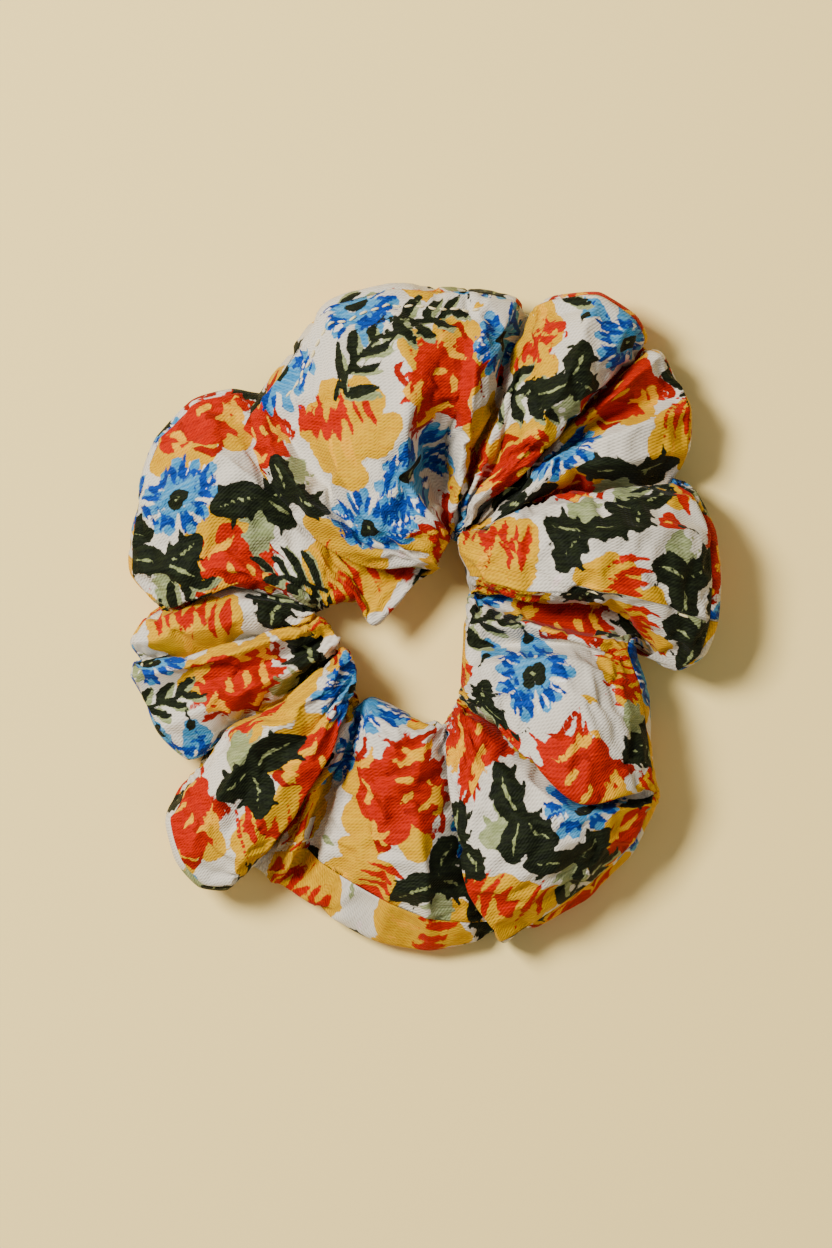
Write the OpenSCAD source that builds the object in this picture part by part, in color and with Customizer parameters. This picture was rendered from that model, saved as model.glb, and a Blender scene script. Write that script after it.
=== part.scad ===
// A gathered fabric hair scrunchie, lying flat: a sewn cloth tube bunched into ten puffs
// on a flat elastic loop. Millimetres, +Z up, origin at the middle of its underside.

/* [Loop] */
// Radius of the elastic loop's centreline at rest
loop_radius = 18; // [16:0.5:20]
// Height of the loop's middle above the surface that the scrunchie lies on
loop_height = 7; // [7:0.5:11]
// Place of the loop's centre across the outline
loop_x = -2; // [-4:0.5:0]
// Place of the loop's centre up the outline
loop_y = -4; // [-6:0.5:-2]

/* [Elastic] */
// Width of the flat braided band
band_width = 6; // [4:0.5:6]
// Thickness of the band
band_thickness = 0.9; // [0.6:0.1:1]
// Length over which the band's two ends lie on each other
band_overlap = 12; // [8:1:14]

/* [Cover] */
// Wall of a puff: 0.3 mm cloth, gathered about two to one
wall = 0.7; // [0.5:0.1:0.9]
// Gap between the end faces of neighbouring puffs
puff_gap = 0.4; // [0.3:0.1:0.8]
// How close the puffs come to the loop's axis between gathers
crown_inside = 11; // [10.5:0.5:12]
// How close they come to it at a gather
gather_inside = 11.5; // [11:0.5:12.5]
// Height of a puff above its inner edge
inner_height = 17; // [16.5:0.5:18]
// Thickness of a puff at its outer edge
rim_height = 13; // [10:1:15]
// Height of the bunched cloth at a gather
gather_height = 17; // [15:0.5:18]
// How far the bunched cloth is lifted off the surface
gather_lift = 2.5; // [1:0.5:3]

/* [Thread] */
// Diameter of the sewing thread
thread = 0.5; // [0.4:0.05:0.6]
// Length of one visible stitch
stitch = 1.6; // [1.2:0.1:2]
// Distance from one visible stitch to the next
stitch_pitch = 2.4; // [2.2:0.1:3]

/* [Hidden] */
// Each puff: the angle of its first gather, how far the cloth reaches out there,
// how far the puff reaches out, and the height of its crown.
PUFFS = [
    [ -3, 40, 53.5, 26],
    [ 29, 49, 54,   25],
    [ 47, 54, 62,   27],
    [ 70, 56, 62,   28],
    [121, 45, 51.5, 24],
    [170, 42, 49,   25],
    [210, 42, 50,   26],
    [237, 48, 54.2, 24],
    [284, 50, 53,   27],
    [321, 43, 47,   26]
];
COUNT = len(PUFFS);
// Steps across a puff, whose fullness follows a half circle from gather to gather.
STEPS = 6;
SECTIONS = [for (i = [0 : STEPS]) [(1 - cos(i * 180 / STEPS)) / 2, sin(i * 180 / STEPS)]];
// How full a section is where its underside comes down flat onto the surface.
FLAT_FROM = 0.86;
ROUND_FN = 24;
TUBE_SIDES = 8;
DISC = 0.02;
// The puff whose rim carries the visible stitches, and how far round the rim they stand.
TOPSTITCH_PUFF = 3;
TOPSTITCH_TILT = 62;
TOPSTITCH_SHARE = 0.74;
// Where round the loop the band's ends lie on each other.
JOIN_ANGLE = 190;
JOIN_BARS = 5;
// The puff, and the section of it, that holds the seam between the tube's two ends.
CROSS_SEAM_PUFF = 0;
CROSS_SEAM_SECTION = 2;
CROSS_SEAM_STEPS = 36;
// How far inside the cloth each seam's thread runs: their allowances stand inwards, and the
// cross seam's stitches pass inside the long seam's.
LONG_SEAM_INSET = 1.2;
CROSS_SEAM_INSET = 2.4;

// The angle, reach and crown height of a puff; counting on past the last starts again.
function gather_angle(k) = PUFFS[k % COUNT][0] + 360 * floor(k / COUNT);
function gather_reach(k) = PUFFS[k % COUNT][1];
function mix(a, b, t) = a + (b - a) * t;

// Section i across puff k as three circles, from the inside out, each given by its distance
// from the loop's axis, its height and its radius.
function section(k, i) =
    let (
        t = SECTIONS[i][0],
        full = SECTIONS[i][1],
        reach = mix(mix(gather_reach(k), gather_reach(k + 1), t), PUFFS[k][2], full),
        crown = mix(gather_height, PUFFS[k][3], full),
        inner_r = mix(gather_height, inner_height, full) / 2,
        rim_r = mix(gather_height, rim_height, full) / 2,
        lift = mix(gather_lift, 0, min(1, full / FLAT_FROM)),
        inside = mix(gather_inside, crown_inside, full)
    )
    [
        [inside + inner_r, lift + inner_r, inner_r],
        [mix(inside, reach, 0.52), lift + crown / 2, crown / 2],
        [reach - rim_r, lift + rim_r, rim_r]
    ];

function section_angle(k, i) = mix(gather_angle(k), gather_angle(k + 1), SECTIONS[i][0]);

// A place in the plane through the loop's axis at an angle, moved sideways by shift.
function place(angle, out, up, shift = 0) = [
    loop_x + out * cos(angle) - shift * sin(angle),
    loop_y + out * sin(angle) + shift * cos(angle),
    up
];

// The point on the rim circle of section i at tilt degrees above level, raised by above.
function rim_point(k, i, tilt, above) =
    let (rim = section(k, i)[2], r = rim[2] + above)
    place(section_angle(k, i), rim[0] + r * cos(tilt), rim[1] + r * sin(tilt));

// The same at t, 0 to 1 across the puff, since the cloth runs straight between sections.
function rim_between(k, t, tilt, above) =
    let (
        i = max([for (n = [0 : STEPS - 1]) if (t >= SECTIONS[n][0]) n]),
        share = (t - SECTIONS[i][0]) / (SECTIONS[i + 1][0] - SECTIONS[i][0])
    )
    mix(rim_point(k, i, tilt, above), rim_point(k, i + 1, tilt, above), share);

// The solid that a puff fills, smaller by inset all round and longer by past at both ends.
module puff_body(k, inset, past) {
    hull()
        for (i = [0 : STEPS], c = section(k, i))
            let (end = i == 0 ? puff_gap / 2 - past : i == STEPS ? past - puff_gap / 2 : 0)
            translate(place(section_angle(k, i), c[0], c[1], end))
                rotate([90, 0, section_angle(k, i)])
                    cylinder(r = c[2] - inset, h = DISC, center = true, $fn = ROUND_FN);
}

// One puff of the cloth tube, hollow and open at both gathers, where the loop runs through.
module puff(k, tint) {
    color(tint)
        difference() {
            puff_body(k, 0, 0);
            puff_body(k, wall, 1);
        }
}

// An upright strip of band around the loop, from one angle to another.
module band_arc(radius, from, to) {
    rotate([0, 0, from])
        rotate_extrude(angle = to - from, $fn = 96)
            translate([radius - band_thickness / 2, -band_width / 2])
                square([band_thickness, band_width]);
}

// The band goes once round, moving out by its own thickness, and its end lies on its start.
module elastic_band() {
    overlap_angle = band_overlap / loop_radius * 180 / PI;
    color("ivory")
        translate([loop_x, loop_y, loop_height])
            rotate([0, 0, JOIN_ANGLE - overlap_angle / 2]) {
                band_arc(loop_radius, 0, 180);
                translate([band_thickness / 2, 0, 0])
                    band_arc(loop_radius + band_thickness / 2, 180, 360);
                band_arc(loop_radius + band_thickness, 0, overlap_angle);
            }
}

// Upright bars of thread through both layers of the band's overlap.
module elastic_join_stitches() {
    spread = 0.7 * band_overlap / loop_radius * 180 / PI;
    depth = 2 * band_thickness + thread;
    color("white")
        for (i = [0 : JOIN_BARS - 1], up = [-1, 1])
            translate([loop_x, loop_y, loop_height])
                rotate([0, 0, JOIN_ANGLE + spread * (i / (JOIN_BARS - 1) - 0.5)])
                    translate([loop_radius + band_thickness / 2 - depth / 2, 0, up * band_width / 4])
                        rotate([0, 90, 0])
                            cylinder(d = thread, h = depth, $fn = 16);
}

// A round thread along a closed row of points, as one polyhedron.
module closed_thread(points) {
    count = len(points);
    rings = [
        for (i = [0 : count - 1])
            let (
                ahead = points[(i + 1) % count] - points[(i + count - 1) % count],
                along = ahead / norm(ahead),
                side = cross(along, [0.31, 0.23, 0.92]),
                across = side / norm(side),
                up = cross(across, along)
            )
            for (n = [0 : TUBE_SIDES - 1])
                points[i] + thread / 2 * (cos(n * 360 / TUBE_SIDES) * across + sin(n * 360 / TUBE_SIDES) * up)
    ];
    faces = [
        for (i = [0 : count - 1], n = [0 : TUBE_SIDES - 1])
            let (j = (i + 1) % count, m = (n + 1) % TUBE_SIDES)
            [i * TUBE_SIDES + n, i * TUBE_SIDES + m, j * TUBE_SIDES + m, j * TUBE_SIDES + n]
    ];
    polyhedron(rings, faces);
}

// The seam that closes the strip into a tube, which follows the rim inside every puff.
module long_seam_thread() {
    color("ivory")
        closed_thread([
            for (k = [0 : COUNT - 1], i = [0 : STEPS - 1])
                rim_point(k, i, 0, -wall - LONG_SEAM_INSET)
        ]);
}

// The seam that joins the tube's two ends, once round inside the cloth of one puff.
module cross_seam_thread() {
    circles = section(CROSS_SEAM_PUFF, CROSS_SEAM_SECTION);
    angle = section_angle(CROSS_SEAM_PUFF, CROSS_SEAM_SECTION);
    color("ivory")
        closed_thread([
            for (i = [0 : CROSS_SEAM_STEPS - 1])
                let (
                    a = i * 360 / CROSS_SEAM_STEPS,
                    support = [for (c = circles) c[0] * cos(a) + c[1] * sin(a) + c[2]],
                    c = circles[search(max(support), support)[0]],
                    r = c[2] - wall - CROSS_SEAM_INSET
                )
                place(angle, c[0] + r * cos(a), c[1] + r * sin(a))
        ]);
}

// The visible row of stitches that closes the turning gap, along the rim of one puff.
module closing_topstitch() {
    k = TOPSTITCH_PUFF;
    run = (gather_angle(k + 1) - gather_angle(k)) * PI / 180 * PUFFS[k][2];
    count = floor(run * TOPSTITCH_SHARE / stitch_pitch);
    step = stitch_pitch / run;
    first = (1 - TOPSTITCH_SHARE) / 2;
    color("ivory")
        for (i = [0 : count - 1])
            let (
                t = first + i * step,
                a = rim_between(k, t, TOPSTITCH_TILT, 0),
                b = rim_between(k, t + step * stitch / stitch_pitch, TOPSTITCH_TILT, 0)
            )
            bar(a, b, thread);
}

// A straight round bar from a to b.
module bar(a, b, d) {
    v = b - a;
    translate(a)
        rotate([0, acos(v[2] / norm(v)), atan2(v[1], v[0])])
            cylinder(d = d, h = norm(v), $fn = 16);
}

puff(0, "gold");  // puff_right
puff(1, "ivory");  // puff_upper_right
puff(2, "linen");  // puff_top_right
puff(3, "ivory");  // puff_top_left
puff(4, "linen");  // puff_upper_left
puff(5, "steelblue");  // puff_left
puff(6, "gold");  // puff_lower_left
puff(7, "orange");  // puff_bottom
puff(8, "orangered");  // puff_bottom_right
puff(9, "linen");  // puff_lower_right
elastic_band();
elastic_join_stitches();
long_seam_thread();
cross_seam_thread();
closing_topstitch();
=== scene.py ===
"""A gathered fabric scrunchie lying flat: a printed cloth tube bunched on an elastic loop."""
import math

import bpy
import numpy as np
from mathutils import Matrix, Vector


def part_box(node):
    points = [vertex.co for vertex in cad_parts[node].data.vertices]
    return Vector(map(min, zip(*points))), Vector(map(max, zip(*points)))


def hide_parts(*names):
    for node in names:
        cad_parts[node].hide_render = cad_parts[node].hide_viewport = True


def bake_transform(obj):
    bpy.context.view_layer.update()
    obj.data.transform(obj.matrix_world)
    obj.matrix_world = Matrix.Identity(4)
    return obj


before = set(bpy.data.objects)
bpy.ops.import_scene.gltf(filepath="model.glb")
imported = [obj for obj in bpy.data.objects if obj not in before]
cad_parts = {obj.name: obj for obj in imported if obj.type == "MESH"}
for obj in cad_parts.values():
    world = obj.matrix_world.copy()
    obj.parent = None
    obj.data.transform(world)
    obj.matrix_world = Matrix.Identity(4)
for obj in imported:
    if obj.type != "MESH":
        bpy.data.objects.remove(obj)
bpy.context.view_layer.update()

MM = 0.001

# ---------------------------------------------------------------- the cloth's folds, in mm
# Each station is one line across the tube, from its edge at the hair opening to its outer rim:
# four points of the upper side, then how far the lower side peeks out beyond the rim.
# Stations run clockwise round the ring. A fold's edge and the valley beneath it are two
# neighbouring stations, so the cloth between them turns under.
STATIONS = [
    # the big upper left puff, on top of its left neighbour
    ((1, 9, 9.5), (-9, 16, 10), (-18, 27, 9), (-24, 39, 7), 0),
    ((1.4, 7.8, 13), (-12, 10.5, 16), (-24, 19.5, 16), (-31, 33, 11), 0),
    ((2.6, 8.4, 16), (-11, 12.8, 20), (-21, 22.5, 21), (-29.5, 36, 13.5), 0),
    ((2, 9, 17), (-9.8, 14.3, 16.6), (-17.6, 24, 16.8), (-27, 39, 12.5), 0),
    ((2.5, 10, 17), (-7.5, 15.5, 21), (-14, 27, 22), (-21.5, 47, 14), 0),
    ((4, 12, 17), (-4, 18, 22), (-9, 33, 24.5), (-16, 54.2, 14), 0),
    ((4.8, 13.6, 17), (-1.6, 23.5, 22), (-2.6, 38, 25), (-6, 57.2, 14), 0),
    ((4.9, 14.1, 14), (1, 26, 9), (2.5, 41, 22.5), (3.5, 57.1, 13.4), 0),
    ((5.1, 14.5, 13), (4.2, 27.6, 8.5), (6.4, 41.2, 20.5), (8.4, 57, 12.8), 0),
    # the pleats beside it
    ((5.2, 14.6, 13), (6.8, 28.5, 20), (9, 41, 22.5), (12, 56.6, 12.5), 0),
    ((5.3, 14.6, 12), (8.6, 30, 18), (11.6, 41, 19.5), (16, 55.6, 11.5), 0),
    ((5.4, 14.7, 11.4), (9.3, 30, 11.5), (13, 40, 10.5), (18.6, 52.8, 7), 0),
    ((5.5, 14.7, 12), (11, 29, 17.5), (14.8, 39, 18), (19.6, 54.2, 11), 0),
    ((5.6, 14.8, 11.4), (12, 27, 14.5), (15.5, 36.5, 17), (20.6, 55, 12), 0),
    # the white puff at the upper right
    ((5.7, 14.8, 11.8), (14, 27, 18.5), (18.5, 38.5, 21.5), (23, 55.8, 13), 0),
    ((5.8, 14.8, 12), (16.5, 27.5, 20), (24, 40, 24.5), (30.5, 56.2, 13.5), 0),
    ((5.9, 14.8, 12), (19, 28, 19), (28.5, 40.2, 22.5), (36.5, 52.5, 13), 0),
    ((6, 14.8, 11.6), (20.5, 28.3, 15.5), (30.3, 39.8, 18), (38.6, 49.4, 11.5), 0),
    ((6.1, 14.8, 11.2), (21, 28.6, 9), (31, 40, 9), (38.6, 47.4, 7.5), 0),
    # the two narrow folds below it
    ((6.2, 14.7, 11.4), (23, 29.6, 14.5), (34, 40, 17.5), (41.5, 46, 11.5), 0),
    ((6.3, 14.6, 11.2), (24.5, 30.8, 12), (35, 36.3, 12), (44.8, 40.6, 9), 0),
    ((6.4, 14.5, 11.6), (24.5, 28.5, 17), (35, 32.5, 18.5), (46.2, 36.5, 11.5), 0),
    ((6.5, 14.4, 11.6), (24, 25.5, 17), (35, 27.5, 17.5), (46, 30, 10.5), 0),
    ((6.5, 14.3, 11.2), (22, 21.5, 8.5), (33, 22, 8), (43.6, 24, 6.5), 0),
    # the plump puff at the right
    ((6.4, 14.4, 12.5), (20, 20.5, 16), (32, 22.8, 16), (44, 23.6, 11.5), 0),
    ((6, 14.8, 15), (19.5, 19, 21), (32, 20.5, 22), (47, 21.5, 14), 0),
    ((5.7, 14, 16.5), (18, 14.5, 24.5), (33, 15.5, 27), (49.6, 15, 16.5), 0),
    ((6.6, 11, 16.5), (18, 9, 25), (33, 9, 27), (50.2, 7, 17), 0),
    ((8.5, 7.5, 15.5), (18, 5.2, 23.5), (32, 5, 25.5), (49.8, 0, 17), 0),
    ((9.8, 5.8, 14), (18, 3.9, 20), (31.5, 3.6, 22), (48.3, -5.5, 15), 0),
    ((9.3, 5.4, 12.5), (18, 3.8, 14.5), (33, 2.6, 15.5), (44.5, -8.4, 11), 0),
    ((8.8, 5.2, 10.5), (18, 6, 7.5), (32.5, 5.6, 6.5), (40.5, -6, 6), 0),
    # the lower right puff
    ((8.3, 4.2, 12.5), (17, 1.2, 11.5), (28, -1.4, 12), (36.4, -3, 12.5), 0),
    ((8.2, 1, 14.5), (15.5, -0.5, 18), (25.5, -2.6, 19), (35.6, -5, 16), 0),
    ((8.1, -4, 13), (14.5, -4.2, 14), (23.5, -4.4, 16.4), (36.4, -7.4, 14.5), 0),
    ((8, -8, 15), (15.5, -7, 20), (24.5, -7, 22.5), (37.7, -11, 15), 0),
    ((7.8, -11, 15), (16.5, -12.5, 21), (27, -14, 24.5), (38.8, -18, 15), 0),
    ((7.7, -13, 14.5), (16.5, -18.5, 20.5), (28, -22.5, 24.5), (39.8, -25, 15), 0),
    ((7.5, -14, 14), (16.2, -21.3, 20.5), (27, -30.3, 23.5), (40.4, -29, 14), 0),
    # the flat three-cornered panel below it
    ((7.3, -14, 11), (18, -20, 8.5), (27.8, -29.2, 14), (40.2, -30, 13), 0),
    ((7, -15, 12), (14.5, -23.5, 16.5), (26, -33, 21.5), (39.4, -32.5, 13), 0),
    ((6, -16.3, 13), (12, -27, 18.5), (23, -37.5, 22), (36.5, -38.5, 12), 1.5),
    ((5.2, -17.3, 13.5), (9.5, -31, 18.5), (18, -42.5, 21), (29.5, -45.2, 11), 3),
    ((4.8, -18.5, 13), (7.2, -32.5, 17.5), (12.8, -46, 19), (21.5, -51, 10.5), 1.5),
    ((4.4, -19.5, 12), (5.7, -32.5, 15), (8.6, -46.5, 16), (14, -55.6, 9.5), 0),
    ((5.6, -19, 9.5), (8.6, -32, 6.5), (11.8, -45, 5.5), (12.5, -52.4, 4.5), 2),
    # the bottom puff, with its lower side showing past the rim
    ((3.8, -18, 11), (4.2, -31, 12.5), (6, -43, 11.5), (7.8, -52.4, 9), 4),
    ((0.5, -18.3, 12.5), (-0.8, -31, 17), (0, -42, 16.5), (1, -51.6, 11), 6.5),
    ((-4, -16.4, 13), (-6, -28, 17.5), (-6, -39, 16.5), (-6, -48.8, 11), 7.5),
    ((-9, -13.8, 12.5), (-10.4, -24, 16), (-10, -34, 15), (-12, -45.5, 10), 7.5),
    ((-11.5, -15, 11.5), (-13, -25, 12), (-15, -34, 11), (-17.5, -42, 8), 7),
    ((-12, -16, 10.5), (-14.6, -24.5, 8), (-18, -32.5, 6.5), (-20, -39.6, 5.5), 8),
    # a narrow finger fold
    ((-12, -15, 11.5), (-15.3, -23.5, 14), (-19, -31.5, 16), (-22.4, -40, 13.5), 7),
    ((-12.2, -14.4, 11), (-16.6, -23, 12), (-20.6, -31, 11.5), (-24.5, -40, 8), 5),
    ((-12.4, -13.6, 10), (-17.5, -21.5, 7.5), (-22.5, -30, 6), (-27, -40.4, 5), 3),
    # the long fold at the lower left
    ((-12, -12, 14), (-15.6, -21.5, 18), (-21.8, -32.5, 18.5), (-29.8, -42.8, 11), 2),
    ((-11.6, -10.6, 15.5), (-17.5, -20.5, 20.5), (-25, -30.5, 21.5), (-33.5, -46, 12), 0),
    ((-11.8, -8.8, 15), (-19, -18.8, 18.6), (-27.3, -26.5, 19.5), (-38, -45.6, 12), 0),
    ((-12, -6.8, 16.5), (-20, -14.6, 21), (-29, -21.8, 22), (-41.5, -41.5, 13), 0),
    ((-13, -5.4, 15), (-22.5, -13.6, 17.5), (-32.5, -20.6, 17.5), (-43.4, -34.5, 12), 0),
    ((-14, -4.8, 12.5), (-24.6, -15, 13.5), (-33, -19.3, 13), (-38.4, -26, 8.5), 0),
    ((-14.6, -5.2, 10), (-24, -15.6, 6.5), (-31.5, -18.3, 5), (-36.2, -22.2, 4.5), 0),
    # the left puffs
    ((-15.4, -4.6, 12), (-25.5, -13, 11), (-34, -17.5, 10), (-40.5, -24, 7.5), 0),
    ((-14, -3.4, 14.5), (-23.5, -8.8, 15.5), (-34.5, -13.5, 14.5), (-45.6, -18.8, 9.5), 0),
    ((-15, -2.8, 12.6), (-23.5, -6, 11.6), (-35.5, -10, 12), (-48.2, -13.6, 8.5), 0),
    ((-16, -1.2, 14.5), (-24.5, -3.2, 16.5), (-36, -6.6, 16), (-50.2, -9.4, 10), 0),
    ((-17, 0, 13), (-25.5, -1.2, 14), (-36.5, -4.8, 13.5), (-50, -7.4, 9.5), 0),
    ((-18, -0.4, 10.2), (-26.5, -2.4, 8), (-37, -6.2, 7.5), (-48.6, -7, 7), 0),
    ((-18.6, 0.8, 12), (-28, 0.6, 13.5), (-38.5, -1.8, 14), (-50.2, -3.6, 9.5), 0),
    ((-19.4, 1.6, 12), (-29, 3.6, 14), (-39, 1.4, 13.5), (-48.2, 0, 9), 0),
    ((-19.6, 2.2, 10.2), (-29.5, 5.6, 8), (-38.5, 4.6, 6.5), (-44.8, 2.4, 5.5), 0),
    # the upper left puff
    ((-19, 2.4, 12.5), (-29, 6.8, 14.5), (-38, 4.4, 13.5), (-45, 1.8, 9), 0),
    ((-18, 2.8, 14), (-28, 8.6, 17), (-38.5, 9, 16), (-50, 8.2, 10), 0),
    ((-17, 3.2, 13), (-26.8, 9.8, 14.6), (-37.5, 13.4, 15.6), (-50.2, 14, 10), 0),
    ((-15, 3.8, 13.5), (-24.5, 12.5, 16.5), (-36, 20, 18.5), (-48.8, 22, 11), 0),
    ((-12, 4.2, 13.5), (-22, 16, 16), (-34, 27.5, 18.5), (-45.6, 31, 11), 0),
    ((-10, 2, 13), (-19.5, 16, 14), (-31, 30, 16), (-39.5, 37.4, 10.5), 0),
    ((-8, -0.2, 12), (-16, 15, 12), (-26, 31, 12.5), (-32.5, 39.6, 9), 0),
    ((-2.5, 4.6, 11), (-12, 15, 9.5), (-21.5, 29, 8), (-27.2, 39.4, 6.5), 0),
]
CENTRE = np.array([-2.0, -3.0])
FLOOR_GAP = 0.6
COLUMNS = 640
TOP_ROWS = 72
UNDER_ROWS = 56
CRISPNESS = 0.54
LEAST_TURN = 0.03
ANGLE_PASSES = 600
INNER = 6


def spline(points, knots, at, ease=1.0):
    """A closed curve through points, which may be whole rows, at the given knot values.
    An ease under 1 flattens the stretches and sharpens the curve at its points."""
    n = len(points)
    total = knots[-1]
    at = np.mod(at, total)
    index = np.clip(np.searchsorted(knots, at, side="right") - 1, 0, n - 1)
    shape = (-1,) + (1,) * (points.ndim - 1)

    def knot(i):
        return knots[np.mod(i, n)] + total * np.floor_divide(i, n)

    def tangent(i):
        before, here, after = points[(i - 1) % n], points[i % n], points[(i + 1) % n]
        d0 = (knot(i) - knot(i - 1)).reshape(shape)
        d1 = (knot(i + 1) - knot(i)).reshape(shape)
        return ((here - before) / d0 * d1 + (after - here) / d1 * d0) / (d0 + d1)

    span = (knot(index + 1) - knot(index)).reshape(shape)
    t = (at - knots[index]).reshape(shape) / span
    a, b = points[index], points[(index + 1) % n]
    m0, m1 = tangent(index) * span * ease, tangent(index + 1) * span * ease
    return (
        (2 * t**3 - 3 * t**2 + 1) * a + (t**3 - 2 * t**2 + t) * m0
        + (3 * t**2 - 2 * t**3) * b + (t**3 - t**2) * m1
    )


def chord_knots(points, power=0.5):
    """Knot values for a closed row of points: each step is a power of the distance."""
    step = np.linalg.norm(np.roll(points, -1, axis=0) - points, axis=-1)
    if step.ndim > 1:
        step = step.mean(axis=tuple(range(1, step.ndim)))
    return np.concatenate([[0], np.cumsum(step**power)])


def smooth(values, times):
    """Values round a closed row, each softened by its neighbours."""
    for _ in range(times):
        values = (np.roll(values, 1) + 2 * values + np.roll(values, -1)) / 4
    return values


def unit(rows):
    """Rows of vectors, each made one long."""
    return rows / np.linalg.norm(rows, axis=1)[:, None]


def run_length(path):
    """How far along a row of points each one lies."""
    return np.concatenate([[0], np.cumsum(np.linalg.norm(np.diff(path, axis=0), axis=1))])


def even_angles(angles, least):
    """The angles made to run one way, at least a little apart, and moved as little as possible."""
    a = np.unwrap(angles)
    for _ in range(ANGLE_PASSES):
        following = np.append(a[1:], a[0] - 2 * math.pi)
        over = np.maximum(0, following - a + least) / 2
        a = a + over - np.roll(over, 1)
    return a


def controls():
    """Control points of every station's closed cross-section, from the rim over the underside.
    The point numbered INNER is the edge at the hair opening."""
    upper = np.array([s[:4] for s in STATIONS], float)
    peek = np.array([s[4] for s in STATIONS], float)
    inner, low, high, rim = upper.transpose(1, 0, 2)
    middle = upper[:, 1:, :2].mean(axis=1) - CENTRE
    angle = even_angles(np.arctan2(middle[:, 1], middle[:, 0]), LEAST_TURN)
    ray = np.stack([np.cos(angle), np.sin(angle)], axis=1)

    reach = smooth(np.linalg.norm(rim[:, :2] - CENTRE, axis=1), 2)
    hole = smooth(np.linalg.norm(inner[:, :2] - CENTRE, axis=1), 1)
    peek = smooth(peek, 1)

    def at(radius, height, sideways=None):
        xy = CENTRE + ray * radius[:, None]
        if sideways is not None:
            xy = xy * 0.5 + sideways[:, :2] * 0.5
        return np.column_stack([xy, np.full(len(xy), height)])

    wall = at(reach - 1.5 + peek, 4.2, rim + np.column_stack([ray * peek[:, None], peek * 0]))
    under_rim = at(reach - 7 + peek, FLOOR_GAP)
    under_middle = at((reach + hole) / 2, FLOOR_GAP)
    under_hole = at(hole + 5, FLOOR_GAP)
    inner_wall = at(hole + 0.8, 5.0, inner)
    rise = inner * 0.68 + low * 0.32
    rise[:, 2] = inner[:, 2] * 0.3 + low[:, 2] * 0.7
    fall = rim * 0.72 + high * 0.28
    fall[:, 2] = rim[:, 2] * 0.5 + high[:, 2] * 0.5
    return np.stack([rim, wall, under_rim, under_middle, under_hole, inner_wall,
                     inner, rise, low, high, fall], axis=1)


def cover_points():
    """The cloth as a grid of points, [along the tube, round the tube], in mm."""
    points = controls()
    along = chord_knots(points[:, INNER:])
    at = np.interp(np.linspace(0, 1, COLUMNS, endpoint=False) * COLUMNS,
                   np.linspace(0, COLUMNS, len(along)), along)
    sections = spline(points, along, at, CRISPNESS)
    grid = np.empty((COLUMNS, TOP_ROWS + UNDER_ROWS + 1, 3))
    for i, section in enumerate(sections):
        knots = chord_knots(section, 0.7)
        inner_knot = knots[INNER]
        rows = np.concatenate([
            np.linspace(0, inner_knot, UNDER_ROWS, endpoint=False),
            np.linspace(inner_knot, knots[-1], TOP_ROWS + 1),
        ])
        rows[-1] = 0
        grid[i] = spline(section, knots, rows)
    return grid


def linked(name, points, faces):
    """A new smooth object in the scene, through points given in mm."""
    mesh = bpy.data.meshes.new(name)
    mesh.from_pydata((np.reshape(points, (-1, 3)) * MM).tolist(), [], faces)
    mesh.shade_smooth()
    obj = bpy.data.objects.new(name, mesh)
    bpy.context.collection.objects.link(obj)
    return obj


def grid_mesh(name, grid):
    """A mesh of quads through a grid of points given in mm, closed along the tube."""
    columns, rows = grid.shape[:2]
    i, j = np.meshgrid(np.arange(columns), np.arange(rows - 1), indexing="ij")
    ahead = (i + 1) % columns
    faces = np.stack([i * rows + j, i * rows + j + 1, ahead * rows + j + 1, ahead * rows + j], axis=-1)
    return linked(name, grid, faces.reshape(-1, 4).tolist())


# ---------------------------------------------------------------- the cloth's own wrinkles
# The folded cover is let go as cloth a little longer than the space it has, so that it buckles
# into wrinkles, while soft pins keep every fold where it was laid. It runs enlarged, because the
# solver's limits suit cloth of about a metre, and on every other row and column of the grid.
SIM_SCALE = 20
SIM_SKIP = 2
SIM_FRAMES = 22
SIM_GROWTH = -0.06
SIM_HOLD = 0.3
SIM_REACH = 1.1


def wrinkled(grid):
    """The cover's grid of points after the cloth simulation, in mm."""
    coarse = grid[::SIM_SKIP, ::SIM_SKIP]
    trial = grid_mesh("trial_cloth", coarse * SIM_SCALE)
    count = len(trial.data.vertices)
    pins = trial.vertex_groups.new(name="pins")
    pins.add(list(range(count)), SIM_HOLD, "REPLACE")
    columns, rows = coarse.shape[:2]
    edges = [i * rows + j for i in range(columns) for j in (0, rows - 1)]
    pins.add(edges, 1.0, "REPLACE")
    cloth = trial.modifiers.new("cloth", "CLOTH")
    settings = cloth.settings
    settings.vertex_group_mass = "pins"
    settings.pin_stiffness = 1.0
    settings.quality = 6
    settings.mass = 0.15
    settings.tension_stiffness = settings.compression_stiffness = 20
    settings.shear_stiffness = 8
    settings.bending_stiffness = 0.6
    settings.tension_damping = settings.compression_damping = settings.shear_damping = 12
    settings.shrink_min = SIM_GROWTH
    settings.effector_weights.gravity = 0
    cloth.collision_settings.use_collision = False
    cloth.collision_settings.use_self_collision = True
    cloth.collision_settings.self_distance_min = 0.006
    cloth.point_cache.frame_end = SIM_FRAMES
    scene = bpy.context.scene
    for step in range(1, SIM_FRAMES + 1):
        scene.frame_set(step)
    moved = trial.evaluated_get(bpy.context.evaluated_depsgraph_get()).to_mesh()
    places = np.empty(count * 3, np.float32)
    moved.vertices.foreach_get("co", places)
    scene.frame_set(1)
    bpy.data.objects.remove(trial)
    shift = places.reshape(coarse.shape) / (MM * SIM_SCALE) - coarse
    length = np.linalg.norm(shift, axis=2, keepdims=True)
    shift *= np.minimum(1, SIM_REACH / np.maximum(length, 1e-9))
    return grid + finer(finer(shift, 0, grid.shape[0], True), 1, grid.shape[1], False)


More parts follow.
